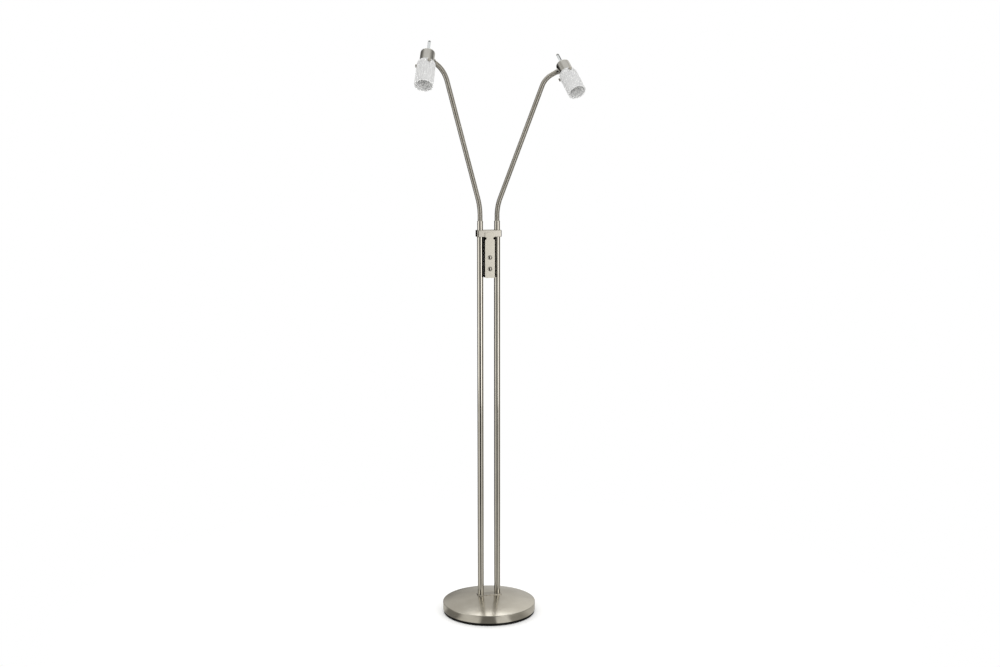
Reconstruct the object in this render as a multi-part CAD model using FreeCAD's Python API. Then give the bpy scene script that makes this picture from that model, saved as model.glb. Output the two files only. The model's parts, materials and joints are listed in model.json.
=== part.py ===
"""Twin-arm reading floor lamp: a weighted round base, two slim upright tubes joined by a
cross-bar with a push-button switch plate, and two ribbed flexible arms that each carry a
small frosted glass spotlight.

Millimetres. +Z is up, +X runs along the cross-bar, -Y is the front, where the buttons are.
The origin is on the floor, at the centre of the base.
"""
import FreeCAD, Part
import math
import os

V = FreeCAD.Vector
UP = V(0, 0, 1)

# ---------------------------------------------------------------- driving dimensions
# Base: tray, iron weight and spun cover
BASE_DIAMETER = 230.0
COVER_RIM_HEIGHT = 18.7         # straight wall of the cover
DOME_RISE = 17.0                # from the crease of the rim to the crown
COVER_WALL = 1.0
CREASE_RADIUS = 1.2
PAD_DIAMETER = 200.0            # rubber sheet under the tray
PAD_THICKNESS = 1.2
TRAY_FLOOR = 1.5
TRAY_RIM_HEIGHT = 6.1
TRAY_RIM_WIDTH = 4.2
TRAY_SETBACK = 1.8              # the tray's edge lies this far inside the cover's
WEIGHT_THICKNESS = 16.0
WEIGHT_EDGE_GAP = 1.0

# Upright tubes
TUBE_DIAMETER = 15.0
TUBE_WALL = 1.2
TUBE_SPACING = 42.0             # between the two centre lines
BAR_UNDERSIDE = 938.0           # height of the cross-bar's lower face
FOOT_PLATE_LENGTH = 60.0        # plate around the feet of both tubes, on the crown of the base
FOOT_PLATE_DEPTH = 22.0
FOOT_PLATE_CORNER = 3.0
FOOT_PLATE_RISE = 1.6           # above the crown
FOOT_PLATE_CHAMFER = 0.5

# Fixing at the foot of each tube: plug, threaded nipple and nut
NIPPLE_DIAMETER = 10.0
NIPPLE_BORE = 7.0
NIPPLE_REACH = 14.0             # into the plug, above the weight
PLUG_LENGTH = 16.0
NUT_ACROSS_FLATS = 17.0
NUT_HEIGHT = 6.0
NUT_RECESS_DEPTH = 7.0
NUT_ROOM = 1.5                  # around the nut's corners, for a spanner

# Cable bushing in the rear of the base
BUSH_HEIGHT = 15.0
BUSH_BARREL_DIAMETER = 9.0
BUSH_FLANGE_DIAMETER = 13.0
BUSH_FLANGE_THICKNESS = 1.8
BUSH_FLANGE_GAP = 0.25          # between the flange and the round cover
BUSH_FLANGE_BEVEL = 0.8
BUSH_BORE = 6.0
BUSH_INSIDE = 2.0               # barrel inside the cover's wall

# Cross-bar and the sleeves for the flexible arms
BAR_LENGTH = 60.5
BAR_DEPTH = 24.0
BAR_CORNER = 3.5                # upright edges
BAR_HEIGHT = 16.5
BAR_EDGE_RADIUS = 1.5           # upper and lower edges
TUBE_SOCKET_DEPTH = 9.0
SLEEVE_DIAMETER = 14.0
SLEEVE_BORE = 11.6
SLEEVE_HEIGHT = 22.0
SLEEVE_SOCKET_DEPTH = 5.0
EDGE_BEVEL = 0.6                # turned rings: sleeves and the nuts at the heads
WIRE_CHANNEL = 6.0

# Switch plate, housing and push buttons
PLATE_WIDTH = 24.0
PLATE_THICKNESS = 2.0
PLATE_BELOW_BUTTONS = 21.8      # from the lower button's middle to the plate's lower edge
PLATE_TAB_RISE = 11.0           # part of the plate that covers the bar's front
PLATE_CORNER = 2.5
NOTCH_RADIUS = 3.1              # round notches beside the neck, under the bar
NOTCH_INSET = 0.9
HOUSING_DEPTH = 21.5
HOUSING_WALL = 1.5
HOUSING_SIDE_SETBACK = 1.0
HOUSING_FOOT_SETBACK = 0.3      # above the plate's lower edge
HOUSING_CORNER = 0.8
HOUSING_TOP_GAP = 0.3           # under the bar
CONDUIT_DIAMETER = 10.0
CONDUIT_BORE = 7.0
CONDUIT_IN_BAR = 7.0
CONDUIT_IN_HOUSING = 5.0
BUTTON_DIAMETER = 10.5
BUTTON_DROP = 49.1              # from the bar's lower face to the upper button's middle
BUTTON_PITCH = 27.6
BUTTON_STAND = 3.4              # dome above the plate
BUTTON_SHOULDER = 0.35          # share of the stand that is cylindrical
BUTTON_SKIRT = 2.6              # cylinder behind the plate's face
BUTTON_TRAVEL = 2.5
BUTTON_STEM_DIAMETER = 4.6
BUTTON_STEM_LENGTH = 5.0
SWITCH_WIDTH = 15.0
SWITCH_DEPTH = 14.0

# Flexible arms: ribbed hose with concealed ball joints
HOSE_LENGTH = 400.0             # from the sleeve's top to the nut at the head
HOSE_DIAMETER = 12.0
HOSE_GROOVE_DEPTH = 0.8
HOSE_BORE = 5.2
RIB_PITCH = 3.0
RIB_LAND = 0.3                  # share of the pitch that is flat, on top and in the groove
HOSE_SHANK_DIAMETER = 11.2      # plain end inside the sleeve
HOSE_SHANK_LENGTH = 9.0
FIRST_BEND_LENGTH = 43.0        # length of hose in the bend above the sleeve
JOINT_COUNT = 6
JOINT_FIRST = 40.0              # from the sleeve's top to the first joint
JOINT_LAST = 35.0               # from the last joint to the nut
BALL_DIAMETER = 9.2
BALL_EXPOSED = 3.2              # from the last groove to the middle of the ball
SOCKET_LAP = 0.3                # socket's edge beyond the middle of the ball
# Angles of the arms, in degrees
LEAN_ANGLE = {"left": 14.7, "right": 24.9}              # of the straight run, from upright
LEAN_HEADING_ANGLE = {"left": 5.8, "right": 20.9}       # of that lean, behind the bar's line
WRIST_HEADING_ANGLE = {"left": 28.8, "right": 17.9}     # at the head, in front of the bar's line
WRIST_RISE_ANGLE = {"left": 30.2, "right": 28.3}        # at the head, above level
HEAD_ROLL_ANGLE = {"left": 22.5, "right": -36.5}        # of the head about its nut
WRIST_RADIUS = {"left": 58.0, "right": 48.0}            # bend below the head
SIDES = {"left": -1, "right": 1}

# Head: cap, inner fitter, lampholder, lamp, glass shade, screws and handle rod
CAP_DIAMETER = 34.0
CAP_HEIGHT = 30.2
CAP_WALL = 1.2
CAP_EDGE_RADIUS = 4.0
HOSE_BELOW_CAP_TOP = 13.9
HOSE_NUT_DIAMETER = 14.0
HOSE_NUT_LENGTH = 5.0
STUB_DIAMETER = 9.0
STUB_INSIDE = 2.2               # inside the cap's wall
FITTER_DIAMETER = 29.2
FITTER_WALL = 1.2
FITTER_BELOW = 15.0
FITTER_ABOVE = 8.0
FITTER_FLANGE = 1.5
FITTER_FLANGE_LEVEL = 0.5       # above the cap's lower edge
HOLDER_DIAMETER = 22.0
HOLDER_LENGTH = 20.0
HOLDER_FACE = -2.0              # its lower face, from the cap's lower edge
HOLDER_FLANGE_LEVEL = 4.0
HOLDER_FLANGE_THICKNESS = 2.0
HOLDER_BEVEL = 1.0
LAMP_DIAMETER = 13.5
LAMP_LENGTH = 38.0              # glass envelope below the lampholder
LAMP_BASE_DIAMETER = 11.0
LAMP_BASE_LENGTH = 12.0
LAMP_NECK = 3.0                 # height of the envelope's taper
SHADE_DIAMETER = 44.0
SHADE_LENGTH = 68.5
SHADE_WALL = 2.3
SHADE_TOP_DIAMETER = 34.8
SHADE_SHOULDER = 9.5
SHADE_LIP = 0.9                 # rounding of the mouth's edges
SCREW_LEVEL = 9.5               # below the cap's lower edge
SCREW_COUNT = 3
SCREW_HEAD_DIAMETER = 8.0
SCREW_HEAD_LENGTH = 3.6
SCREW_HEAD_ROUND = 1.0
SCREW_INSIDE = 1.0              # inside the fitter's wall
SCREW_DIAMETER = 3.0
SCREW_HOLE = 4.0
ROD_DIAMETER = 7.0
ROD_LENGTH = 32.4
ROD_EDGE = 0.6
ROD_SCREW_DIAMETER = 3.0
ROD_SCREW_DEPTH = 8.0
ROD_SCREW_HEAD_DIAMETER = 6.0
ROD_SCREW_HEAD_HEIGHT = 1.8

# Clearances
FIT = 0.05                      # seated and threaded fits
SLIDE = 0.3                     # moving button in its hole
BALL_CLEARANCE = 0.25
HOLE_CLEARANCE = 0.3            # tubes through the cover
NECK_CLEARANCE = 0.4            # glass around the fitter

# ---------------------------------------------------------------- derived sizes
BASE_R = BASE_DIAMETER / 2
TRAY_BOTTOM = PAD_THICKNESS
TRAY_TOP = TRAY_BOTTOM + TRAY_RIM_HEIGHT
TRAY_R = BASE_R - TRAY_SETBACK
WEIGHT_BOTTOM = TRAY_BOTTOM + TRAY_FLOOR
WEIGHT_TOP = WEIGHT_BOTTOM + WEIGHT_THICKNESS
WEIGHT_R = TRAY_R - TRAY_RIM_WIDTH - WEIGHT_EDGE_GAP
CREASE_Z = TRAY_TOP + COVER_RIM_HEIGHT
CROWN_Z = CREASE_Z + DOME_RISE
DOME_R = (BASE_R ** 2 + DOME_RISE ** 2) / (2 * DOME_RISE)

TUBE_R = TUBE_DIAMETER / 2
TUBE_X = TUBE_SPACING / 2
BAR_TOP = BAR_UNDERSIDE + BAR_HEIGHT
SLEEVE_TOP = BAR_TOP + SLEEVE_HEIGHT
BAR_FRONT = -BAR_DEPTH / 2
PLATE_FRONT = BAR_FRONT - PLATE_THICKNESS
NUT_CEILING = WEIGHT_BOTTOM + NUT_RECESS_DEPTH
BUTTON_TOP_HEIGHT = BAR_UNDERSIDE - BUTTON_DROP
PLATE_BOTTOM = BUTTON_TOP_HEIGHT - BUTTON_PITCH - PLATE_BELOW_BUTTONS

RIDGE_R = HOSE_DIAMETER / 2
GROOVE_R = RIDGE_R - HOSE_GROOVE_DEPTH
BALL_R = BALL_DIAMETER / 2
JOINT_PITCH = (HOSE_LENGTH - JOINT_FIRST - JOINT_LAST) / (JOINT_COUNT - 1)
JOINTS = [JOINT_FIRST + i * JOINT_PITCH for i in range(JOINT_COUNT)]

CAP_R = CAP_DIAMETER / 2
CAP_INNER_R = CAP_R - CAP_WALL
FITTER_R = FITTER_DIAMETER / 2
SHADE_R = SHADE_DIAMETER / 2


# ---------------------------------------------------------------- shape helpers
def cylinder(radius, z0, z1, x=0.0, y=0.0):
    """Upright cylinder between two heights."""
    return Part.makeCylinder(radius, z1 - z0, V(x, y, z0), UP)


def pipe(outer_r, inner_r, z0, z1, x=0.0):
    """Upright tube between two heights."""
    return cylinder(outer_r, z0, z1, x).cut(cylinder(inner_r, z0, z1, x))


def rounded_slab(length, depth, corner, z0, z1):
    """Upright slab whose plan is a rectangle with rounded corners."""
    slab = Part.makeBox(length, depth, z1 - z0, V(-length / 2, -depth / 2, z0))
    upright = [e for e in slab.Edges if e.BoundBox.ZLength > z1 - z0 - 0.01]
    return slab.makeFillet(corner, upright)


def turned(*edges):
    """Solid of revolution about +Z from the edges of a closed profile in the XZ plane."""
    face = Part.Face(Part.Wire(Part.__sortEdges__(list(edges))))
    return face.revolve(V(0, 0, 0), UP, 360)


def line(r0, z0, r1, z1):
    """Profile edge from one radius and height to another."""
    return Part.makeLine(V(r0, 0, z0), V(r1, 0, z1))


def arc(r0, z0, mid_r, mid_z, r1, z1):
    """Profile edge through three points."""
    return Part.Arc(V(r0, 0, z0), V(mid_r, 0, mid_z), V(r1, 0, z1)).toShape()


def turned_polygon(*points):
    """Solid of revolution about +Z from a polygon of (radius, height) points."""
    closed = list(points) + [points[0]]
    edges = [line(*a, *b) for a, b in zip(closed, closed[1:])]
    return turned(*edges)


def placed(shape, point, up, front=None):
    """A copy of a shape with its own +Z along up and its +X as near front as it can be."""
    z = V(up).normalize()
    guide = V(front) if front is not None else (V(0, 1, 0) if abs(z.y) < 0.9 else V(1, 0, 0))
    x = (guide - z * guide.dot(z)).normalize()
    y = z.cross(x)
    matrix = FreeCAD.Matrix(x.x, y.x, z.x, point.x, x.y, y.y, z.y, point.y,
                            x.z, y.z, z.z, point.z, 0, 0, 0, 1)
    moved = shape.copy()
    moved.Placement = FreeCAD.Placement(matrix)
    return moved


def save(name, shape):
    """Write one piece as STEP and report its size."""
    os.makedirs("parts", exist_ok=True)
    shape.exportStep("parts/%s.step" % name)
    box = shape.BoundBox
    print("%-22s %d solid(s) %9.1f mm3  z %.1f to %.1f  valid %s"
          % (name, len(shape.Solids), shape.Volume, box.ZMin, box.ZMax, shape.isValid()))


# ---------------------------------------------------------------- base
def dome_height(r, radius=DOME_R):
    """Height of the cover's outer dome at a distance from the middle."""
    return CROWN_Z - radius + math.sqrt(radius ** 2 - r ** 2)


def base_cover():
    """Spun steel cover: straight rim, small crease radius and a shallow dome."""
    edge_r = BASE_R - CREASE_RADIUS
    edge_z = dome_height(edge_r)
    outer = [line(BASE_R, TRAY_TOP, BASE_R, CREASE_Z - CREASE_RADIUS),
             arc(BASE_R, CREASE_Z - CREASE_RADIUS,
                 BASE_R - 0.3 * CREASE_RADIUS, edge_z - 0.25 * CREASE_RADIUS, edge_r, edge_z),
             arc(edge_r, edge_z, edge_r / 2, dome_height(edge_r / 2), 0, CROWN_Z)]
    inner_r = BASE_R - COVER_WALL
    dome = DOME_R - COVER_WALL
    inner = [line(0, CROWN_Z, 0, CROWN_Z - COVER_WALL),
             arc(0, CROWN_Z - COVER_WALL, inner_r / 2, dome_height(inner_r / 2, DOME_R) - COVER_WALL,
                 inner_r, dome_height(inner_r, DOME_R) - COVER_WALL),
             line(inner_r, dome_height(inner_r, DOME_R) - COVER_WALL, inner_r, TRAY_TOP),
             line(inner_r, TRAY_TOP, BASE_R, TRAY_TOP)]
    cover = turned(*(outer + inner))
    for side in SIDES.values():
        cover = cover.cut(cylinder(TUBE_R + HOLE_CLEARANCE, WEIGHT_TOP, CROWN_Z, side * TUBE_X))
    hole = Part.makeCylinder(BUSH_BARREL_DIAMETER / 2, 2 * COVER_WALL + 2,
                             V(0, BASE_R - COVER_WALL - 1, BUSH_HEIGHT), V(0, 1, 0))
    return cover.cut(hole)


def base_weight():
    """Cast iron disc with a hole and a nut recess under each tube."""
    weight = cylinder(WEIGHT_R, WEIGHT_BOTTOM, WEIGHT_TOP)
    recess_r = NUT_ACROSS_FLATS / math.sqrt(3) + NUT_ROOM
    for side in SIDES.values():
        weight = weight.cut(cylinder(NIPPLE_DIAMETER / 2 + HOLE_CLEARANCE, WEIGHT_BOTTOM, WEIGHT_TOP,
                                     side * TUBE_X))
        weight = weight.cut(cylinder(recess_r, WEIGHT_BOTTOM, NUT_CEILING, side * TUBE_X))
    return weight


def base_tray():
    """Black tray under the weight, whose rim carries the cover."""
    return turned_polygon((0, TRAY_BOTTOM), (TRAY_R, TRAY_BOTTOM), (TRAY_R, TRAY_TOP),
                          (TRAY_R - TRAY_RIM_WIDTH, TRAY_TOP),
                          (TRAY_R - TRAY_RIM_WIDTH, WEIGHT_BOTTOM), (0, WEIGHT_BOTTOM))


def base_pad():
    """Rubber sheet that the lamp stands on."""
    return cylinder(PAD_DIAMETER / 2, 0, PAD_THICKNESS)


def foot_plate():
    """Thin plate around the feet of both tubes, hollowed to lie on the dome."""
    top = CROWN_Z + FOOT_PLATE_RISE
    plate = rounded_slab(FOOT_PLATE_LENGTH, FOOT_PLATE_DEPTH, FOOT_PLATE_CORNER, CREASE_Z, top)
    rim = [e for e in plate.Edges if e.BoundBox.ZMin > top - 0.01]
    plate = plate.makeChamfer(FOOT_PLATE_CHAMFER, rim)
    for side in SIDES.values():
        plate = plate.cut(cylinder(TUBE_R + FIT, CREASE_Z, top, side * TUBE_X))
    return plate.cut(Part.makeSphere(DOME_R, V(0, 0, CROWN_Z - DOME_R)))


def tube_plug(side):
    """Threaded plug inside a tube's foot."""
    return pipe(TUBE_R - TUBE_WALL - FIT, NIPPLE_DIAMETER / 2 + FIT, WEIGHT_TOP,
                WEIGHT_TOP + PLUG_LENGTH, side * TUBE_X)


def hollow_nipple(side):
    """Hollow threaded nipple that clamps a tube to the weight."""
    return pipe(NIPPLE_DIAMETER / 2, NIPPLE_BORE / 2, NUT_CEILING - NUT_HEIGHT,
                WEIGHT_TOP + NIPPLE_REACH, side * TUBE_X)


def base_nut(side):
    """Hexagonal nut in the weight's recess."""
    corner = NUT_ACROSS_FLATS / math.sqrt(3)
    corners = [V(side * TUBE_X + corner * math.cos(math.radians(60 * i)),
                 corner * math.sin(math.radians(60 * i)), NUT_CEILING - NUT_HEIGHT) for i in range(7)]
    hexagon = Part.Face(Part.makePolygon(corners)).extrude(V(0, 0, NUT_HEIGHT))
    return hexagon.cut(cylinder(NIPPLE_DIAMETER / 2 + FIT, NUT_CEILING - NUT_HEIGHT, NUT_CEILING,
                                side * TUBE_X))


def cable_bush():
    """Bushing for the mains cable in the rear of the cover's rim."""
    barrel_r = BUSH_BARREL_DIAMETER / 2 - FIT
    inside = -COVER_WALL - BUSH_INSIDE
    bush = turned_polygon((BUSH_BORE / 2, inside), (barrel_r, inside), (barrel_r, BUSH_FLANGE_GAP),
                          (BUSH_FLANGE_DIAMETER / 2, BUSH_FLANGE_GAP),
                          (BUSH_FLANGE_DIAMETER / 2 - BUSH_FLANGE_BEVEL, BUSH_FLANGE_THICKNESS),
                          (BUSH_BORE / 2, BUSH_FLANGE_THICKNESS))
    return placed(bush, V(0, BASE_R, BUSH_HEIGHT), V(0, 1, 0), UP)


# ---------------------------------------------------------------- uprights and cross-bar
def upright_tube(side):
    """Steel tube from the weight into the cross-bar."""
    return pipe(TUBE_R, TUBE_R - TUBE_WALL, WEIGHT_TOP, BAR_UNDERSIDE + TUBE_SOCKET_DEPTH,
                side * TUBE_X)


def crossbar():
    """Cast bar that joins the tubes, with wire channels and sockets."""
    slab = rounded_slab(BAR_LENGTH, BAR_DEPTH, BAR_CORNER, BAR_UNDERSIDE, BAR_TOP)
    rims = [e for e in slab.Edges if abs(e.BoundBox.ZMax - e.BoundBox.ZMin) < 0.01]
    bar = slab.makeFillet(BAR_EDGE_RADIUS, rims)
    mid_z = (BAR_UNDERSIDE + BAR_TOP) / 2
    for side in SIDES.values():
        x = side * TUBE_X
        bar = bar.cut(cylinder(TUBE_R + FIT, BAR_UNDERSIDE, BAR_UNDERSIDE + TUBE_SOCKET_DEPTH, x))
        bar = bar.cut(cylinder(SLEEVE_DIAMETER / 2 + FIT, BAR_TOP - SLEEVE_SOCKET_DEPTH, BAR_TOP, x))
        bar = bar.cut(cylinder(WIRE_CHANNEL / 2, BAR_UNDERSIDE, BAR_TOP, x))
    bar = bar.cut(Part.makeCylinder(WIRE_CHANNEL / 2, TUBE_SPACING, V(-TUBE_X, 0, mid_z), V(1, 0, 0)))
    return bar.cut(cylinder(CONDUIT_DIAMETER / 2 + FIT, BAR_UNDERSIDE, BAR_UNDERSIDE + CONDUIT_IN_BAR))


def hose_sleeve(side):
    """Plain sleeve on the cross-bar that grips the end of a flexible arm."""
    bottom = BAR_TOP - SLEEVE_SOCKET_DEPTH
    sleeve = pipe(SLEEVE_DIAMETER / 2, SLEEVE_BORE / 2, bottom, SLEEVE_TOP, side * TUBE_X)
    rim = [e for e in sleeve.Edges
           if e.BoundBox.ZMin > SLEEVE_TOP - 0.01 and e.BoundBox.XLength > SLEEVE_DIAMETER - 0.1]
    return sleeve.makeChamfer(EDGE_BEVEL, rim)


# ---------------------------------------------------------------- switch
def button_heights():
    return {"upper": BUTTON_TOP_HEIGHT, "lower": BUTTON_TOP_HEIGHT - BUTTON_PITCH}


def switch_plate():
    """Flat front plate: a tab over the bar, a notched neck and a tall body with two holes."""
    top = BAR_UNDERSIDE + PLATE_TAB_RISE
    plate = Part.makeBox(PLATE_WIDTH, PLATE_THICKNESS, top - PLATE_BOTTOM,
                         V(-PLATE_WIDTH / 2, PLATE_FRONT, PLATE_BOTTOM))
    corners = [e for e in plate.Edges if e.BoundBox.YLength > PLATE_THICKNESS - 0.01]
    plate = plate.makeFillet(PLATE_CORNER, corners)
    front = V(0, -1, 0)
    for side in SIDES.values():
        centre = V(side * (PLATE_WIDTH / 2 - NOTCH_INSET), BAR_FRONT, BAR_UNDERSIDE - NOTCH_RADIUS)
        plate = plate.cut(Part.makeCylinder(NOTCH_RADIUS, PLATE_THICKNESS, centre, front))
    for z in button_heights().values():
        plate = plate.cut(Part.makeCylinder(BUTTON_DIAMETER / 2 + SLIDE, PLATE_THICKNESS,
                                            V(0, BAR_FRONT, z), front))
    return plate


def switch_housing():
    """Box behind the plate, between the tubes, open at its front."""
    width = PLATE_WIDTH - 2 * HOUSING_SIDE_SETBACK
    bottom = PLATE_BOTTOM + HOUSING_FOOT_SETBACK
    top = BAR_UNDERSIDE - HOUSING_TOP_GAP
    wall = HOUSING_WALL
    box = Part.makeBox(width, HOUSING_DEPTH, top - bottom, V(-width / 2, BAR_FRONT, bottom))
    edges = [e for e in box.Edges if e.BoundBox.YLength > HOUSING_DEPTH - 0.01]
    box = box.makeFillet(HOUSING_CORNER, edges)
    hollow = Part.makeBox(width - 2 * wall, HOUSING_DEPTH - wall, top - bottom - 2 * wall,
                          V(-width / 2 + wall, BAR_FRONT, bottom + wall))
    return box.cut(hollow).cut(cylinder(CONDUIT_DIAMETER / 2 + FIT, top - wall, top))


def switch_conduit():
    """Short hollow nipple that hangs the housing from the bar and passes the wires."""
    return pipe(CONDUIT_DIAMETER / 2, CONDUIT_BORE / 2,
                BAR_UNDERSIDE - HOUSING_TOP_GAP - CONDUIT_IN_HOUSING, BAR_UNDERSIDE + CONDUIT_IN_BAR)


def switch_body(z):
    """Push switch behind the plate, bored for its button."""
    half = SWITCH_WIDTH / 2
    body = Part.makeBox(SWITCH_WIDTH, SWITCH_DEPTH, SWITCH_WIDTH, V(-half, BAR_FRONT, z - half))
    skirt_depth = BUTTON_SKIRT - PLATE_THICKNESS + BUTTON_TRAVEL + SLIDE
    stem_depth = skirt_depth + BUTTON_STEM_LENGTH
    start = V(0, BAR_FRONT, z)
    body = body.cut(Part.makeCylinder(BUTTON_DIAMETER / 2 + SLIDE, skirt_depth, start, V(0, 1, 0)))
    return body.cut(Part.makeCylinder(BUTTON_STEM_DIAMETER / 2 + SLIDE, stem_depth, start, V(0, 1, 0)))


def push_button(z):
    """Domed button with a stem; its own axis points out of the plate."""
    r = BUTTON_DIAMETER / 2
    stem_r = BUTTON_STEM_DIAMETER / 2
    shoulder = BUTTON_SHOULDER * BUTTON_STAND
    back = -BUTTON_SKIRT
    tail = back - BUTTON_STEM_LENGTH
    rise = BUTTON_STAND - shoulder
    ball = (r ** 2 + rise ** 2) / (2 * rise)
    mid_z = BUTTON_STAND - ball + math.sqrt(ball ** 2 - (r / 2) ** 2)
    button = turned(line(0, BUTTON_STAND, 0, tail), line(0, tail, stem_r, tail),
                    line(stem_r, tail, stem_r, back), line(stem_r, back, r, back),
                    line(r, back, r, shoulder), arc(r, shoulder, r / 2, mid_z, 0, BUTTON_STAND))
    return placed(button, V(0, PLATE_FRONT, z), V(0, -1, 0), UP)


# ---------------------------------------------------------------- flexible arms
def direction(turn, rise):
    """Unit vector at a turn from +X and a rise above level, in degrees."""
    t = math.radians(turn)
    e = math.radians(rise)
    return V(math.cos(e) * math.cos(t), math.cos(e) * math.sin(t), math.sin(e))


class Route:
    """Centre line of one arm: straight, bend, straight, bend and straight to the nut."""

    def __init__(self, name):
        side = SIDES[name]
        turn = LEAN_HEADING_ANGLE[name]
        heading = turn if side > 0 else 180 - turn
        self.lean = direction(heading, 90 - LEAN_ANGLE[name])
        wrist = WRIST_HEADING_ANGLE[name]
        self.wrist = direction(-wrist if side > 0 else 180 + wrist, WRIST_RISE_ANGLE[name])
        self.start = V(side * TUBE_X, 0, SLEEVE_TOP)
        first_radius = FIRST_BEND_LENGTH / UP.getAngle(self.lean)
        wrist_length = WRIST_RADIUS[name] * self.lean.getAngle(self.wrist)
        run = HOSE_LENGTH - 2 * HOSE_DIAMETER - FIRST_BEND_LENGTH - wrist_length
        self.spans = []
        self.add(HOSE_DIAMETER, UP, UP)
        self.add(FIRST_BEND_LENGTH, UP, self.lean)
        self.add(run, self.lean, self.lean)
        self.add(wrist_length, self.lean, self.wrist)
        self.add(HOSE_DIAMETER, self.wrist, self.wrist)
        print("%s arm: bend radii %.0f and %.0f, straight run %.1f"
              % (name, first_radius, WRIST_RADIUS[name], run))

    def add(self, length, before, after):
        """Append a straight span, or an arc between two directions."""
        point = self.spans[-1]["end"] if self.spans else self.start
        span = {"length": length, "begin": point, "before": V(before), "axis": None}
        angle = before.getAngle(after)
        if angle > 1e-9:
            span["axis"] = before.cross(after).normalize()
            span["radius"] = length / angle
        self.spans.append(span)
        span["end"] = self.on_span(span, length)[0]

    @staticmethod
    def on_span(span, s):
        """Point and direction at a distance along one span."""
        before = span["before"]
        if span["axis"] is None:
            return span["begin"] + before * s, before
        radius = span["radius"]
        inward = span["axis"].cross(before)
        angle = s / radius
        point = (span["begin"] + before * (radius * math.sin(angle))
                 + inward * (radius * (1 - math.cos(angle))))
        return point, before * math.cos(angle) + inward * math.sin(angle)

    def at(self, s):
        """Point and direction at a distance from the sleeve's top."""
        for span in self.spans:
            if s <= span["length"] or span is self.spans[-1]:
                return self.on_span(span, s)
            s -= span["length"]

    def ring(self, s, radius):
        """Circle around the centre line; its X axis keeps the same heading all along."""
        point, tangent = self.at(s)
        return Part.Wire(placed(Part.makeCircle(radius), point, tangent))


def ribbed(route, s0, s1):
    """Ribbed body of hose between two distances, four circles to each rib."""
    count = max(1, round((s1 - s0) / RIB_PITCH))
    pitch = (s1 - s0) / count
    flank = (1 - 2 * RIB_LAND) / 2
    steps = ((0.0, GROOVE_R), (RIB_LAND, GROOVE_R), (RIB_LAND + flank, RIDGE_R),
             (2 * RIB_LAND + flank, RIDGE_R))
    rings = [route.ring(s0 + (i + share) * pitch, radius)
             for i in range(count) for share, radius in steps]
    rings.append(route.ring(s1, GROOVE_R))
    return Part.makeLoft(rings, True, True), count


def hose_bore(route, s0, s1):
    """Wire way through the hose, in steps of one rib."""
    count = max(1, round((s1 - s0) / RIB_PITCH))
    rings = [route.ring(s0 + (s1 - s0) * i / count, HOSE_BORE / 2) for i in range(count + 1)]
    return Part.makeLoft(rings, True, True)


def hose_link(route, index):
    """One length of the arm: a socket or plain shank below, a ball or plain end above."""
    lower = JOINTS[index - 1] if index > 0 else None
    upper = JOINTS[index] if index < JOINT_COUNT else None
    begin = lower - SOCKET_LAP if index > 0 else 0.0
    end = upper - BALL_EXPOSED if upper else HOSE_LENGTH
    link, count = ribbed(route, begin, end)
    bore_begin = begin
    bore_end = end
    if lower is None:
        shank_bottom = SLEEVE_TOP - HOSE_SHANK_LENGTH
        shank = cylinder(HOSE_SHANK_DIAMETER / 2, shank_bottom, SLEEVE_TOP, route.start.x)
        link = link.fuse(shank)
        bore_begin = -HOSE_SHANK_LENGTH
    if upper is not None:
        link = link.fuse(Part.makeSphere(BALL_R, route.at(upper)[0]))
        bore_end = upper + BALL_DIAMETER
    link = link.cut(hose_bore(route, bore_begin, bore_end))
    if lower is not None:
        link = link.cut(Part.makeSphere(BALL_R + BALL_CLEARANCE, route.at(lower)[0]))
    return link, count


# ---------------------------------------------------------------- heads
def head_frame(name, route):
    """Cap's lower edge centre, its upward axis and the direction of the hose's side."""
    end, wrist = route.at(HOSE_LENGTH)
    axis_point = end + wrist * (HOSE_NUT_LENGTH + CAP_R)
    hang = (V(0, 0, -1) + wrist * wrist.z).normalize()
    roll = math.radians(HEAD_ROLL_ANGLE[name])
    down = hang * math.cos(roll) + wrist.cross(hang) * math.sin(roll)
    up = down * -1
    origin = axis_point + down * (CAP_HEIGHT - HOSE_BELOW_CAP_TOP)
    return origin, up, wrist * -1


def radial(radius, r0, r1, z, turn=0.0):
    """Cylinder that points outwards from the head's axis."""
    t = math.radians(turn)
    out = V(math.cos(t), math.sin(t), 0)
    return Part.makeCylinder(radius, r1 - r0, out * r0 + V(0, 0, z), out)


def cap():
    """Spun cap, open below, with holes for the hose's stub and the rod's screw."""
    e = CAP_EDGE_RADIUS
    h = CAP_HEIGHT
    w = CAP_WALL
    c = math.cos(math.pi / 4)
    inner_e = e - w
    shell = turned(line(CAP_R, 0, CAP_R, h - e),
                   arc(CAP_R, h - e, CAP_R - e + e * c, h - e + e * c, CAP_R - e, h),
                   line(CAP_R - e, h, 0, h), line(0, h, 0, h - w), line(0, h - w, CAP_R - e, h - w),
                   arc(CAP_R - e, h - w, CAP_R - e + inner_e * c, h - e + inner_e * c,
                       CAP_INNER_R, h - e),
                   line(CAP_INNER_R, h - e, CAP_INNER_R, 0), line(CAP_INNER_R, 0, CAP_R, 0))
    shell = shell.cut(radial(STUB_DIAMETER / 2 + FIT, CAP_INNER_R - 2, CAP_R + 1, h - HOSE_BELOW_CAP_TOP))
    return shell.cut(cylinder(ROD_SCREW_DIAMETER / 2 + FIT, h - 2 * w, h + 1))


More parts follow.
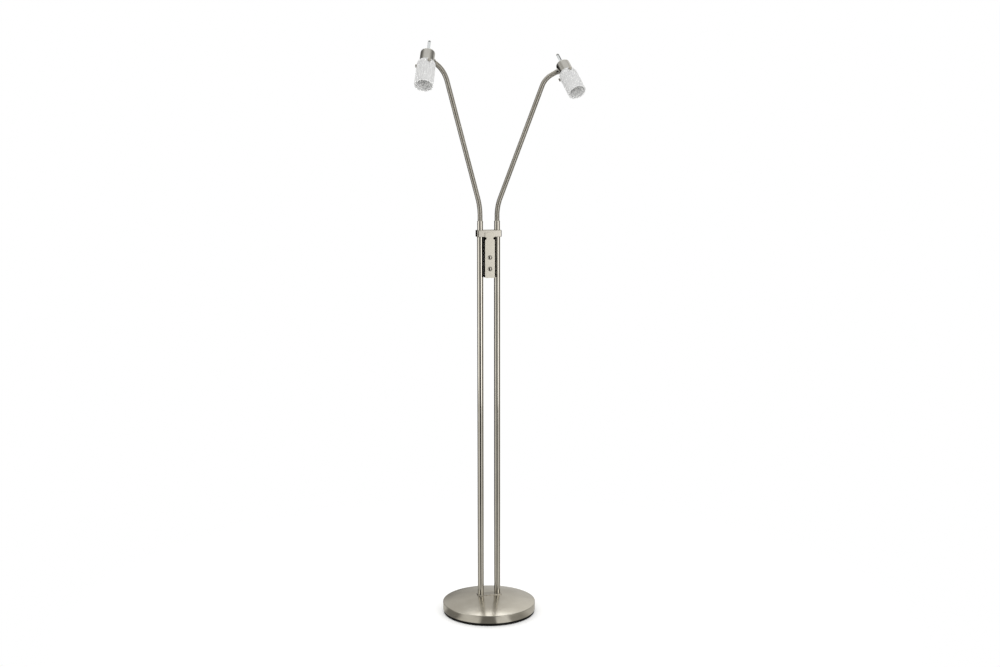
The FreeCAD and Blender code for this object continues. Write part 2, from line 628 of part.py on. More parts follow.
def hose_nut():
    """Collar between hose and cap, shaped to the cap's side, with a stub through its wall."""
    z = CAP_HEIGHT - HOSE_BELOW_CAP_TOP
    outer = CAP_R + HOSE_NUT_LENGTH
    collar = radial(HOSE_NUT_DIAMETER / 2, CAP_R - 3, outer, z)
    rim = [e for e in collar.Edges if e.BoundBox.XMin > outer - 0.01]
    collar = collar.makeChamfer(EDGE_BEVEL, rim)
    collar = collar.cut(cylinder(CAP_R, 0, CAP_HEIGHT))
    stub = radial(STUB_DIAMETER / 2, CAP_INNER_R - STUB_INSIDE, CAP_R + 2, z)
    return collar.fuse(stub).cut(radial(HOSE_BORE / 2, CAP_INNER_R - STUB_INSIDE - 1, outer + 1, z))


def fitter():
    """Inner sleeve that centres the glass and takes its screws."""
    r = FITTER_R
    inner = r - FITTER_WALL
    flange_r = CAP_INNER_R - FIT
    low = FITTER_FLANGE_LEVEL
    high = low + FITTER_FLANGE
    sleeve = turned_polygon((inner, -FITTER_BELOW), (r, -FITTER_BELOW), (r, low), (flange_r, low),
                            (flange_r, high), (r, high), (r, FITTER_ABOVE), (inner, FITTER_ABOVE))
    for i in range(SCREW_COUNT):
        sleeve = sleeve.cut(radial(SCREW_DIAMETER / 2 + FIT, inner - 1, r + 1, -SCREW_LEVEL,
                                   i * 360 / SCREW_COUNT))
    return sleeve


def lampholder():
    """Ceramic lampholder with a flange that rests in the fitter."""
    r = HOLDER_DIAMETER / 2
    flange_r = FITTER_R - FITTER_WALL - FIT
    low = HOLDER_FLANGE_LEVEL
    high = low + HOLDER_FLANGE_THICKNESS
    top = HOLDER_FACE + HOLDER_LENGTH
    body = turned_polygon((0, HOLDER_FACE), (r, HOLDER_FACE), (r, low), (flange_r, low),
                          (flange_r, high), (r, high), (r, top - HOLDER_BEVEL),
                          (r - HOLDER_BEVEL, top), (0, top))
    socket_top = HOLDER_FACE + LAMP_BASE_LENGTH + SLIDE
    return body.cut(cylinder(LAMP_BASE_DIAMETER / 2 + FIT, HOLDER_FACE, socket_top))


def lamp():
    """Small capsule lamp: pressed base and domed glass envelope."""
    r = LAMP_DIAMETER / 2
    base_r = LAMP_BASE_DIAMETER / 2
    top = HOLDER_FACE + LAMP_BASE_LENGTH
    tip = HOLDER_FACE - LAMP_LENGTH
    c = math.cos(math.pi / 4)
    return turned(line(0, top, base_r, top), line(base_r, top, base_r, HOLDER_FACE),
                  line(base_r, HOLDER_FACE, r, HOLDER_FACE - LAMP_NECK),
                  line(r, HOLDER_FACE - LAMP_NECK, r, tip + r),
                  arc(r, tip + r, r * c, tip + r - r * c, 0, tip), line(0, tip, 0, top))


def shade():
    """Frosted glass shade: narrow top, round shoulder, straight side and rounded mouth."""
    step = (SHADE_DIAMETER - SHADE_TOP_DIAMETER) / 2
    big = (step ** 2 + SHADE_SHOULDER ** 2) / (2 * step)
    small = big - SHADE_WALL
    centre_r = SHADE_R - big
    sweep = math.asin(SHADE_SHOULDER / big)
    mid = sweep / 2
    inner_r = SHADE_R - SHADE_WALL
    neck_r = FITTER_R + NECK_CLEARANCE
    inner_sweep = math.acos((neck_r - centre_r) / small)
    inner_mid = inner_sweep / 2
    low = -SHADE_SHOULDER
    mouth = -SHADE_LENGTH
    shell = turned(arc(SHADE_TOP_DIAMETER / 2, 0, centre_r + big * math.cos(mid),
                       low + big * math.sin(mid), SHADE_R, low),
                   line(SHADE_R, low, SHADE_R, mouth), line(SHADE_R, mouth, inner_r, mouth),
                   line(inner_r, mouth, inner_r, low),
                   arc(inner_r, low, centre_r + small * math.cos(inner_mid),
                       low + small * math.sin(inner_mid), neck_r, low + small * math.sin(inner_sweep)),
                   line(neck_r, low + small * math.sin(inner_sweep), neck_r, 0),
                   line(neck_r, 0, SHADE_TOP_DIAMETER / 2, 0))
    rims = [e for e in shell.Edges if e.BoundBox.ZMax < mouth + 0.01]
    shell = shell.makeFillet(SHADE_LIP, rims)
    for i in range(SCREW_COUNT):
        shell = shell.cut(radial(SCREW_HOLE / 2, FITTER_R, SHADE_R + 1, -SCREW_LEVEL,
                                 i * 360 / SCREW_COUNT))
    return shell


def shade_screws():
    """Three thumb screws through the glass into the fitter."""
    screws = []
    head_start = SHADE_R + FIT
    head_end = head_start + SCREW_HEAD_LENGTH
    for i in range(SCREW_COUNT):
        turn = i * 360 / SCREW_COUNT
        head = radial(SCREW_HEAD_DIAMETER / 2, head_start, head_end, -SCREW_LEVEL)
        rim = [e for e in head.Edges if e.BoundBox.XMin > head_end - 0.01]
        head = head.makeFillet(SCREW_HEAD_ROUND, rim)
        shank = radial(SCREW_DIAMETER / 2, FITTER_R - FITTER_WALL - SCREW_INSIDE, head_start + 1,
                       -SCREW_LEVEL)
        screw = head.fuse(shank)
        screw.rotate(V(0, 0, 0), UP, turn)
        screws.append(screw)
    return Part.makeCompound(screws)


def handle_rod():
    """Clear rod on top of the cap, for aiming the hot head."""
    r = ROD_DIAMETER / 2
    rod = cylinder(r, CAP_HEIGHT, CAP_HEIGHT + ROD_LENGTH)
    top = [e for e in rod.Edges if e.BoundBox.ZMin > CAP_HEIGHT + ROD_LENGTH - 0.01]
    rod = rod.makeFillet(ROD_EDGE, top)
    return rod.cut(cylinder(ROD_SCREW_DIAMETER / 2 + FIT, CAP_HEIGHT, CAP_HEIGHT + ROD_SCREW_DEPTH + 1))


def rod_screw():
    """Screw from inside the cap into the rod."""
    ceiling = CAP_HEIGHT - CAP_WALL
    head = cylinder(ROD_SCREW_HEAD_DIAMETER / 2, ceiling - ROD_SCREW_HEAD_HEIGHT, ceiling)
    return head.fuse(cylinder(ROD_SCREW_DIAMETER / 2, ceiling - ROD_SCREW_HEAD_HEIGHT / 2,
                              CAP_HEIGHT + ROD_SCREW_DEPTH))


HEAD_PIECES = {"cap": cap, "hose_nut": hose_nut, "fitter": fitter, "lampholder": lampholder,
               "lamp": lamp, "shade": shade, "shade_screws": shade_screws,
               "handle_rod": handle_rod, "rod_screw": rod_screw}


# ---------------------------------------------------------------- build every piece
def main():
    save("base_cover", base_cover())
    save("base_weight", base_weight())
    save("base_tray", base_tray())
    save("base_pad", base_pad())
    save("cable_bush", cable_bush())
    save("foot_plate", foot_plate())
    save("crossbar", crossbar())
    save("switch_plate", switch_plate())
    save("switch_housing", switch_housing())
    save("switch_conduit", switch_conduit())
    for level, z in button_heights().items():
        save("switch_%s" % level, switch_body(z))
        save("button_%s" % level, push_button(z))
    for name, side in SIDES.items():
        save("upright_%s" % name, upright_tube(side))
        save("tube_plug_%s" % name, tube_plug(side))
        save("nipple_%s" % name, hollow_nipple(side))
        save("base_nut_%s" % name, base_nut(side))
        save("hose_sleeve_%s" % name, hose_sleeve(side))
        route = Route(name)
        ribs = 0
        for index in range(JOINT_COUNT + 1):
            link, count = hose_link(route, index)
            ribs += count
            save("hose_%s_%d" % (name, index), link)
        print("%s hose: %d ribs" % (name, ribs))
        for index, s in enumerate(JOINTS):
            point, tangent = route.at(s)
            print("JOINT %s %d" % (name, index + 1), [round(c, 4) for c in point],
                  [round(c, 5) for c in tangent])
        origin, up, hose_side = head_frame(name, route)
        print("HEAD %s" % name, [round(c, 4) for c in origin], [round(c, 5) for c in up],
              [round(c, 5) for c in hose_side])
        for piece, make in HEAD_PIECES.items():
            save("%s_%s" % (piece, name), placed(make(), origin, up, hose_side))


main()
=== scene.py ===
# %% [markdown]
# # A reading floor lamp with two flexible arms
# The lamp stands on a round weighted foot. Two slim tubes rise from it to a short cross-bar,
# and two ribbed arms grow out of the bar, each with a small frosted glass spotlight at its end.
# The construction model gives every rigid piece at its exact size. This file dresses it:
# it sets the camera and the light, finishes each surface, and winds the two flexible arms anew.

# %% Load the construction model
import json
import math
import bpy
import bmesh
from mathutils import Matrix, Vector


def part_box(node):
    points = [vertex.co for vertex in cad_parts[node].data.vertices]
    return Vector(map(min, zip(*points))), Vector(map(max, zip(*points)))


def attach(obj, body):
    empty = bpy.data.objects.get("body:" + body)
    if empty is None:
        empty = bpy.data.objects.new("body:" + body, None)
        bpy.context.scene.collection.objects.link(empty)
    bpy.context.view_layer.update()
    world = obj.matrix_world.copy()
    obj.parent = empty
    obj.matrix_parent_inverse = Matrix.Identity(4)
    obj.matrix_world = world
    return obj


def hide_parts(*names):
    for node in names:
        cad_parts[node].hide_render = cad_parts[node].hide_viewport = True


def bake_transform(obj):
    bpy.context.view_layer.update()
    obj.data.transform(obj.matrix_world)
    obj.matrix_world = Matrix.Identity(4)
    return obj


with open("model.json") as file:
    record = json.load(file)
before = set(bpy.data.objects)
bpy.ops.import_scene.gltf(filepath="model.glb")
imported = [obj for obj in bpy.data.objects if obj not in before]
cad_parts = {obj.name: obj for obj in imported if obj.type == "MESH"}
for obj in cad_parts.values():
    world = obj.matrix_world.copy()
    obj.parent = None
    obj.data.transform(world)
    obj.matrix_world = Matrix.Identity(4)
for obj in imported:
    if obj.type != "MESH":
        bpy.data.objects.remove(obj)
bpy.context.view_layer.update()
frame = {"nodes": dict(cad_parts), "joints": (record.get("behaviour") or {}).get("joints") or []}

nodes = frame["nodes"]
scene = bpy.context.scene
MM = 0.001

# %% [markdown]
# The camera is set before anything is made, because every choice is judged through it.
# A 50 mm lens on a full-frame sensor stands 3.35 m away at 1.2 m height and looks down by
# eight degrees, a little from the lamp's left. The numbers come from fitting the base's
# ellipse, the two tubes and the two heads to one view.

# %% Camera
CAMERA_TURN = math.radians(14.05)
CAMERA_PITCH = math.radians(8.436)
lens = bpy.data.cameras.new("camera")
lens.lens = 50.0
lens.sensor_width = 36.0
camera = bpy.data.objects.new("camera", lens)
camera.location = (-0.7856, -3.2523, 1.1983)
camera.rotation_euler = (math.pi / 2 - CAMERA_PITCH, 0, -CAMERA_TURN)
scene.collection.objects.link(camera)
scene.camera = camera
TO_CAMERA = Vector((-math.sin(CAMERA_TURN), -math.cos(CAMERA_TURN), 0))
TO_RIGHT = Vector((math.cos(CAMERA_TURN), -math.sin(CAMERA_TURN), 0))
print("camera", round(camera.location.length, 2), "m from the origin")

# %% [markdown]
# ## Helpers for materials
# Paint chips are written as sRGB hex values, but shaders calculate with linear light, so one
# function converts them. A second one adds a node, fills its settings and draws its links.
# With these two, a material reads like a recipe from top to bottom.


# %% Colour and node helpers
def linear(chip):
    """sRGB hex colour as linear RGBA."""
    parts = [int(chip[i:i + 2], 16) / 255 for i in (1, 3, 5)]
    return tuple(c / 12.92 if c <= 0.04045 else ((c + 0.055) / 1.055) ** 2.4
                 for c in parts) + (1.0,)


def add(tree, kind, inputs=None, **settings):
    """A new node with its properties set, and its sockets filled or linked."""
    made = tree.nodes.new(kind)
    for name, value in settings.items():
        setattr(made, name, value)
    for socket, value in (inputs or {}).items():
        if isinstance(value, bpy.types.NodeSocket):
            tree.links.new(value, made.inputs[socket])
        else:
            made.inputs[socket].default_value = value
    return made


def start(name):
    """An empty node material and its tree."""
    finish = bpy.data.materials.new(name)
    finish.use_nodes = True
    finish.node_tree.nodes.clear()
    return finish, finish.node_tree


def close(tree, shader):
    """Links a shader to the material's output."""
    add(tree, "ShaderNodeOutputMaterial", {"Surface": shader.outputs[0]})


print("white chip is", linear("#ffffff")[:3])

# %% [markdown]
# ## Satin nickel
# The visible metal is steel or brass with a satin nickel plating: it is brushed before
# plating, so the gloss is soft and slightly streaked along the brushing, and the colour is a
# warm grey. Turned pieces carry fine rings from the lathe or the spinning, and the flat plate
# has straight lines. Real brushing is finer than 0.1 mm, which would only shimmer in a
# picture, so it is drawn at about 0.5 mm. Very shallow bump and a little roughness change
# with the streaks, and a slow noise adds the faint clouding of handled metal.
# A piece's own axis is found by a Mapping node that turns Object coordinates upright.

# %% Satin nickel, turned or straight
WARM_NICKEL = ("#c2bdb2", "#cdc9bf")
COOL_NICKEL = ("#bebcb8", "#c9c8c4")
PLATE_NICKEL = ("#bab5aa", "#c4c0b5")
BAR_NICKEL = ("#aca79e", "#b6b2a9")
HOSE_NICKEL = ("#a8a49b", "#b6b2a9")


def nickel(name, frame_matrix=None, turned=True, streak=0.5, gloss=0.2, depth=0.002,
           chips=WARM_NICKEL):
    """Satin nickel whose rings run round a piece's own Z axis, or whose lines run along it."""
    finish, tree = start(name)
    place = add(tree, "ShaderNodeTexCoord").outputs["Object"]
    if frame_matrix is not None:
        back = frame_matrix.inverted()
        place = add(tree, "ShaderNodeMapping", {"Vector": place, "Location": back.to_translation(),
                                                "Rotation": back.to_euler()}).outputs[0]
    if turned:
        split = add(tree, "ShaderNodeSeparateXYZ", {"Vector": place})
        flat = add(tree, "ShaderNodeCombineXYZ", {"X": split.outputs["X"], "Y": split.outputs["Y"]})
        radius = add(tree, "ShaderNodeVectorMath", {0: flat.outputs[0]}, operation="LENGTH")
        lines = add(tree, "ShaderNodeCombineXYZ", {"X": radius.outputs["Value"],
                                                   "Z": split.outputs["Z"]}).outputs[0]
        scale = 1 / (2 * streak * MM)
        streaks = add(tree, "ShaderNodeTexNoise", {"Vector": lines, "Scale": scale, "Detail": 2.0})
    else:
        narrow = add(tree, "ShaderNodeVectorMath", {0: place, 1: (1.0, 1.0, 0.02)},
                     operation="MULTIPLY")
        streaks = add(tree, "ShaderNodeTexNoise", {"Vector": narrow.outputs[0],
                                                   "Scale": 1 / (2 * streak * MM), "Detail": 2.0})
    clouds = add(tree, "ShaderNodeTexNoise", {"Vector": place, "Scale": 22.0, "Detail": 3.0})
    tone = add(tree, "ShaderNodeMapRange", {"Value": clouds.outputs[0], "From Min": 0.3,
                                            "From Max": 0.7})
    colour = add(tree, "ShaderNodeMix", {"Factor": tone.outputs[0], "A": linear(chips[0]),
                                         "B": linear(chips[1])}, data_type="RGBA")
    both = add(tree, "ShaderNodeMath", {0: streaks.outputs[0], 1: clouds.outputs[0]},
               operation="ADD")
    rough = add(tree, "ShaderNodeMapRange", {"Value": both.outputs[0], "From Min": 0.6,
                                             "From Max": 1.4, "To Min": gloss - 0.03,
                                             "To Max": gloss + 0.03})
    bump = add(tree, "ShaderNodeBump", {"Height": streaks.outputs[0], "Strength": 0.25,
                                        "Distance": depth * MM})
    shader = add(tree, "ShaderNodeBsdfPrincipled",
                 {"Base Color": colour.outputs["Result"], "Metallic": 1.0,
                  "Roughness": rough.outputs[0], "Normal": bump.outputs[0]})
    close(tree, shader)
    return finish


print("nickel chips:", WARM_NICKEL, COOL_NICKEL, PLATE_NICKEL, HOSE_NICKEL)

# %% [markdown]
# ## Plain finishes
# The other rigid pieces have simple moulded, cast, turned or painted skins. One function
# builds such a skin: a colour that wanders a little between two chips, a roughness that
# wanders with it, and a grain of a given size in millimetres that raises a slight bump.


# %% Moulded, cast and painted skins
def skin(name, dark, light, gloss, grain, height, metallic=0.0, shine=0.5):
    """A plain finish with a wandering colour and a fine grain, grain and height in millimetres."""
    finish, tree = start(name)
    place = add(tree, "ShaderNodeTexCoord").outputs["Object"]
    clouds = add(tree, "ShaderNodeTexNoise", {"Vector": place, "Scale": 40.0, "Detail": 3.0})
    tone = add(tree, "ShaderNodeMapRange", {"Value": clouds.outputs[0], "From Min": 0.3,
                                            "From Max": 0.7})
    colour = add(tree, "ShaderNodeMix", {"Factor": tone.outputs[0], "A": linear(dark),
                                         "B": linear(light)}, data_type="RGBA")
    rough = add(tree, "ShaderNodeMapRange", {"Value": clouds.outputs[0], "From Min": 0.2,
                                             "From Max": 0.8, "To Min": gloss - 0.05,
                                             "To Max": gloss + 0.05})
    grains = add(tree, "ShaderNodeTexNoise", {"Vector": place, "Scale": 1 / (2 * grain * MM),
                                              "Detail": 2.0})
    bump = add(tree, "ShaderNodeBump", {"Height": grains.outputs[0], "Strength": 0.4,
                                        "Distance": height * MM})
    shader = add(tree, "ShaderNodeBsdfPrincipled",
                 {"Base Color": colour.outputs["Result"], "Metallic": metallic,
                  "Roughness": rough.outputs[0], "Normal": bump.outputs[0]})
    shader.inputs["Specular IOR Level"].default_value = shine
    close(tree, shader)
    return finish


# Powder-coated steel tray: a fine orange peel.
black_enamel = skin("powder_coated_tray", "#0d0c0b", "#151412", 0.7, 0.6, 0.05, shine=0.15)
# Injection-moulded ABS housing and bushing: a fine spark-eroded texture.
black_abs = skin("moulded_black_abs", "#0a0806", "#110e0b", 0.75, 0.4, 0.01, shine=0.1)
rubber = skin("black_rubber", "#17181a", "#232324", 0.8, 0.5, 0.05)
# Grey iron as cast: rough, dull and a little mottled.
cast_iron = skin("cast_iron", "#3f3c38", "#55504a", 0.7, 0.9, 0.2, metallic=0.7)
zinc = skin("zinc_plated_steel", "#b9bcbf", "#cfd1d2", 0.32, 0.3, 0.01, metallic=1.0)
# Polished nickel buttons: nearly a mirror. The chips are darker than polished nickel really is:
# painted shade for the dim studio that the domes mirror.
polished = skin("polished_nickel_painted_shade", "#a8a49c", "#b9b5ad", 0.12, 0.4, 0.0005, metallic=1.0)
# Steatite lampholder: a dense unglazed ceramic.
steatite = skin("steatite_ceramic", "#e6e1d4", "#f1ede3", 0.45, 0.3, 0.02)
print("plain finishes: tray, ABS, rubber, iron, zinc, polished nickel, steatite")

# %% [markdown]
# ## Glass and acrylic
# The shades are borosilicate tube, frosted by etching, so light goes in and scatters: the
# far wall shows only as a soft shadow. A rough transmission gives the haze, a little scatter
# under the skin gives the milk, and the etched grain breaks up the gloss. The lamp's capsule
# is clear quartz glass. The aiming rods are clear acrylic, polished by flame, which bends
# light a little more than the glass does.


# %% See-through finishes
SCATTER_DEPTH = 2 * MM


def see_through(name, chip, gloss, ior, grain, height, share, milk=0.0):
    """Glass or acrylic; share is how much passes through, and milk how much scatters inside."""
    finish, tree = start(name)
    place = add(tree, "ShaderNodeTexCoord").outputs["Object"]
    grains = add(tree, "ShaderNodeTexNoise", {"Vector": place, "Scale": 1 / (2 * grain * MM),
                                              "Detail": 3.0})
    rough = add(tree, "ShaderNodeMapRange", {"Value": grains.outputs[0], "From Min": 0.2,
                                             "From Max": 0.8, "To Min": gloss * 0.9,
                                             "To Max": gloss * 1.1})
    bump = add(tree, "ShaderNodeBump", {"Height": grains.outputs[0], "Strength": 0.3,
                                        "Distance": height * MM})
    shader = add(tree, "ShaderNodeBsdfPrincipled",
                 {"Base Color": linear(chip), "Roughness": rough.outputs[0], "IOR": ior,
                  "Transmission Weight": share, "Normal": bump.outputs[0]})
    shader.inputs["Subsurface Weight"].default_value = milk
    shader.inputs["Subsurface Radius"].default_value = (1.0, 1.0, 1.0)
    shader.inputs["Subsurface Scale"].default_value = SCATTER_DEPTH
    close(tree, shader)
    return finish


frosted_glass = see_through("etched_borosilicate", "#fefefd", 0.55, 1.47, 0.3, 0.004, 0.3, 0.4)
quartz_glass = see_through("clear_quartz", "#fbfcfc", 0.03, 1.46, 2.0, 0.001, 1.0)
acrylic = see_through("clear_acrylic", "#d6d9d9", 0.12, 1.49, 1.5, 0.002, 1.0)
print("see-through finishes: etched glass, quartz, acrylic")

# %% [markdown]
# ## Where the heads stand
# Each head is turned to its own side, so its brushing rings and its lamp need the head's own
# axes. The cap's lower edge is the zero, and the axis runs up through the cap. The places are
# those of the construction model, and a print of the cap's box shows that they agree.

# %% Head frames
HEADS = {
    "left": {"zero": (-0.1537767, -0.0255555, 1.3481717), "up": (0.22289, 0.55923, 0.79849),
             "hose": (0.75737, 0.41637, -0.50302)},
    "right": {"zero": (0.2013779, 0.0250827, 1.3301339), "up": (-0.17983, 0.68316, 0.70778),
              "hose": (-0.83786, 0.27062, -0.47409)}}


def head_matrix(side):
    """Matrix from a head's own axes to the lamp's: Z up through the cap, X towards the hose."""
    z = Vector(HEADS[side]["up"]).normalized()
    x = Vector(HEADS[side]["hose"])
    x = (x - z * x.dot(z)).normalized()
    turn = Matrix((x, z.cross(x), z)).transposed().to_4x4()
    return Matrix.Translation(HEADS[side]["zero"]) @ turn


for side in HEADS:
    low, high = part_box("cap_" + side)
    centre = (low + high) / 2
    print(side, "cap middle in its own axes, mm:",
          [round(c / MM, 1) for c in head_matrix(side).inverted() @ centre])

# %% [markdown]
# ## Dress the construction pieces
# Every node gets the finish of the real piece. The base cover is spun from sheet, so its rings
# run round the lamp's middle; the tubes, sleeves and caps are turned about their own axes.
# The switch plate is stamped from sheet that was brushed along its length.

# %% Finishes for every node
spun_cover = nickel("satin_nickel_spun_cover", streak=0.9, gloss=0.2)
cast_bar = nickel("satin_nickel_bar", turned=False, streak=0.5, gloss=0.22, chips=BAR_NICKEL)
brushed_plate = nickel("satin_nickel_plate", turned=False, streak=0.35, gloss=0.3, depth=0.001,
                       chips=PLATE_NICKEL)
on_tube = {side: nickel("satin_nickel_tube_" + side, Matrix.Translation((x * MM, 0, 0)),
                        streak=0.5, gloss=0.1, depth=0.0008)
           for side, x in (("left", -21), ("right", 21))}
on_head = {side: nickel("satin_nickel_head_" + side, head_matrix(side), streak=0.4, gloss=0.2,
                        chips=COOL_NICKEL)
           for side in HEADS}
FINISHES = {"base_cover": spun_cover, "base_weight": cast_iron, "base_tray": black_enamel,
            "base_pad": rubber, "cable_bush": black_abs, "crossbar": cast_bar,
            "foot_plate": cast_bar,
            "switch_plate": brushed_plate, "switch_housing": black_abs, "switch_conduit": zinc,
            "switch_upper": black_abs, "switch_lower": black_abs,
            "button_upper": polished, "button_lower": polished}
for side in HEADS:
    for piece in ("upright", "hose_sleeve"):
        FINISHES[piece + "_" + side] = on_tube[side]
    for piece in ("cap", "hose_nut", "fitter"):
        FINISHES[piece + "_" + side] = on_head[side]
    for piece in ("tube_plug", "nipple", "base_nut", "rod_screw"):
        FINISHES[piece + "_" + side] = zinc
    FINISHES["shade_screws_" + side] = polished
    FINISHES["lampholder_" + side] = steatite
    FINISHES["lamp_" + side] = quartz_glass
    FINISHES["shade_" + side] = frosted_glass
    FINISHES["handle_rod_" + side] = acrylic
for name, finish in FINISHES.items():
    if name in nodes:
        slots = nodes[name].data.materials
        slots.clear()
        slots.append(finish)
print("dressed", sum(n in nodes for n in FINISHES), "nodes; left for the arms:",
      sum(n not in FINISHES for n in nodes))

# %% [markdown]
# ## The flexible arms
# A flexible arm, or gooseneck, is two steel wires wound together into a tight spiral hose that
# holds any bend it is given. Its look is one continuous screw of ribs, 3 mm apart. Rings set
# one behind the other would look much the same, but the real thing is a screw, and a spin with
# a rise per step makes exactly that. So a straight hose is wound first, and every length of
# skin is cut from it and then laid along the arm's curve.

# %% The arm's centre line
SLEEVE_TOP = 0.9765
HOSE_LENGTH = 0.400
HOSE_RIDGE = 0.006
HOSE_GROOVE = 0.0052
RIB_PITCH = 0.003
STRAIGHT_END = 0.012
FIRST_BEND = 0.043
FIRST_JOINT = 0.040
JOINT_PITCH = 0.065
ARMS = {"left": {"x": -0.021, "lean": 14.7, "back": 5.8, "radius": 0.058, "wrist": (28.8, 30.2)},
        "right": {"x": 0.021, "lean": 24.9, "back": 20.9, "radius": 0.048, "wrist": (17.9, 28.3)}}


def heading(turn, rise):
    """Unit vector at a turn from +X and a rise above level, in degrees."""
    t, e = math.radians(turn), math.radians(rise)
    return Vector((math.cos(e) * math.cos(t), math.cos(e) * math.sin(t), math.sin(e)))


def arm_spans(side):
    """The arm as straight runs and bends: (length, direction before, direction after)."""
    arm = ARMS[side]
    up = Vector((0, 0, 1))
    mirror = side == "left"
    lean = heading(180 - arm["back"] if mirror else arm["back"], 90 - arm["lean"])
    wrist = heading(180 + arm["wrist"][0] if mirror else -arm["wrist"][0], arm["wrist"][1])
    bend = arm["radius"] * lean.angle(wrist)
    run = HOSE_LENGTH - 2 * STRAIGHT_END - FIRST_BEND - bend
    return [(STRAIGHT_END, up, up), (FIRST_BEND, up, lean), (run, lean, lean),
            (bend, lean, wrist), (STRAIGHT_END, wrist, wrist)]


SPANS = {side: arm_spans(side) for side in ARMS}


def along(side, s):
    """Point and direction of an arm's centre line at a distance from its sleeve."""
    point = Vector((ARMS[side]["x"], 0, SLEEVE_TOP))
    for i, (length, before, after) in enumerate(SPANS[side]):
        part = s if i == len(SPANS[side]) - 1 else min(s, length)
        angle = before.angle(after)
        if angle < 1e-6:
            point, tangent = point + before * part, before
        else:
            radius = length / angle
            inward = before.cross(after).normalized().cross(before)
            turn = part / radius
            point = (point + before * (radius * math.sin(turn))
                     + inward * (radius * (1 - math.cos(turn))))
            tangent = before * math.cos(turn) + inward * math.sin(turn)
        s -= part
        if s <= 0:
            break
    return point, tangent


pivots = {j["name"]: j for j in frame["joints"]}
for side in ARMS:
    found = [Vector(j["pos_m"]) for n, j in pivots.items() if n.startswith(side + "_arm_")]
    JOINTS = [FIRST_JOINT + JOINT_PITCH * i for i in range(len(found))]
    print(side, "centre line misses the joints by at most",
          round(max((along(side, s)[0] - p).length for s, p in zip(JOINTS, found)) / MM, 3), "mm")

# %% [markdown]
# The rib's outline is a low round crown between two narrow grooves. Fourteen steps make one
# turn: enough for a smooth outline on a 12 mm hose, and light enough for 133 turns.

# %% Wind a straight hose
RIB_OUTLINE = ((0.0, 0.0), (0.14, 0.7), (0.34, 1.0), (0.66, 1.0), (0.86, 0.7), (1.0, 0.0))
STEPS_PER_TURN = 14


def straight_hose():
    """A bmesh of the ribbed screw about +Z, a little longer than an arm at both ends."""
    wound = bmesh.new()
    outline = [wound.verts.new((HOSE_GROOVE + (HOSE_RIDGE - HOSE_GROOVE) * rise, 0,
                                RIB_PITCH * (share - 2))) for share, rise in RIB_OUTLINE]
    edges = [wound.edges.new(pair) for pair in zip(outline, outline[1:])]
    turns = round(HOSE_LENGTH / RIB_PITCH) + 4
    bmesh.ops.spin(wound, geom=outline + edges, axis=(0, 0, 1), cent=(0, 0, 0),
                   dvec=(0, 0, RIB_PITCH / STEPS_PER_TURN), angle=math.tau * turns,
                   steps=STEPS_PER_TURN * turns, use_merge=False, use_duplicate=False)
    bmesh.ops.remove_doubles(wound, verts=wound.verts, dist=0.05 * MM)
    bmesh.ops.recalc_face_normals(wound, faces=wound.faces)
    return wound


hose = straight_hose()
print("straight hose:", len(hose.faces), "faces, z from",
      round(min(v.co.z for v in hose.verts) / MM, 1), "to",
      round(max(v.co.z for v in hose.verts) / MM, 1), "mm")

# %% [markdown]
# Each skin runs from the middle of one length of the arm to the middle of the next and
# bends across the joint between them, so no joint shows. Neighbours are cut from the same
# screw, so their ribs meet at the seam.

# %% Lay the skins along both arms
hose_steel = nickel("satin_nickel_hose", turned=False, streak=0.5, gloss=0.2, chips=HOSE_NICKEL)


def outwards(bm):
    """Turns a closed shell's faces outwards."""
    bmesh.ops.recalc_face_normals(bm, faces=bm.faces)
    if bm.calc_volume(signed=True) < 0:
        bmesh.ops.reverse_faces(bm, faces=bm.faces)


def hose_skin(side, number, s0, s1):
    """One closed length of ribbed hose between two distances along an arm."""
    cut = hose.copy()
    for place, normal in ((s0, (0, 0, -1)), (s1, (0, 0, 1))):
        bmesh.ops.bisect_plane(cut, geom=cut.verts[:] + cut.edges[:] + cut.faces[:],
                               dist=1e-6, plane_co=(0, 0, place), plane_no=normal,
                               clear_outer=True)
    rims = [e for e in cut.edges if e.is_boundary]
    for edge in rims:
        edge.smooth = False
    for face in cut.faces:
        face.smooth = True
    bmesh.ops.holes_fill(cut, edges=rims, sides=0)
    outwards(cut)
    for vert in cut.verts:
        point, tangent = along(side, vert.co.z)
        x = (Vector((0, 1, 0)) - tangent * tangent.y).normalized()
        vert.co = point + x * vert.co.x + tangent.cross(x) * vert.co.y
    mesh = bpy.data.meshes.new("arm_%s_skin_%d" % (side, number))
    cut.to_mesh(mesh)
    cut.free()
    mesh.materials.append(hose_steel)
    made = bpy.data.objects.new(mesh.name, mesh)
    scene.collection.objects.link(made)
    return made


BEND_REACH = 0.026
for side in ARMS:
    middles = [0.0] + [(a + b) / 2 for a, b in zip(JOINTS, JOINTS[1:])] + [HOSE_LENGTH]
    for i, joint in enumerate(JOINTS):
        skin_piece = hose_skin(side, i + 1, middles[i], middles[i + 1])
        along(side, joint - BEND_REACH)[0]
        along(side, joint + BEND_REACH)[0]
        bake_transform(skin_piece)
        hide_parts("hose_%s_%d" % (side, i), "hose_%s_%d" % (side, i + 1))
    print(side, "arm:", len(JOINTS), "skins, the last with",
          len(skin_piece.data.polygons), "faces")
hose.free()

# %% [markdown]
# ## Inside the lamps
# Through the open mouths one can see the lamps. A real capsule lamp has a fine coil of wire
# held between two leads inside the quartz. The construction model has the capsule as one
# solid, so the coil and its leads are added inside it here.

# %% Filament and leads
tungsten = skin("tungsten_wire", "#6d6a66", "#8a8680", 0.35, 0.2, 0.002, metallic=1.0)


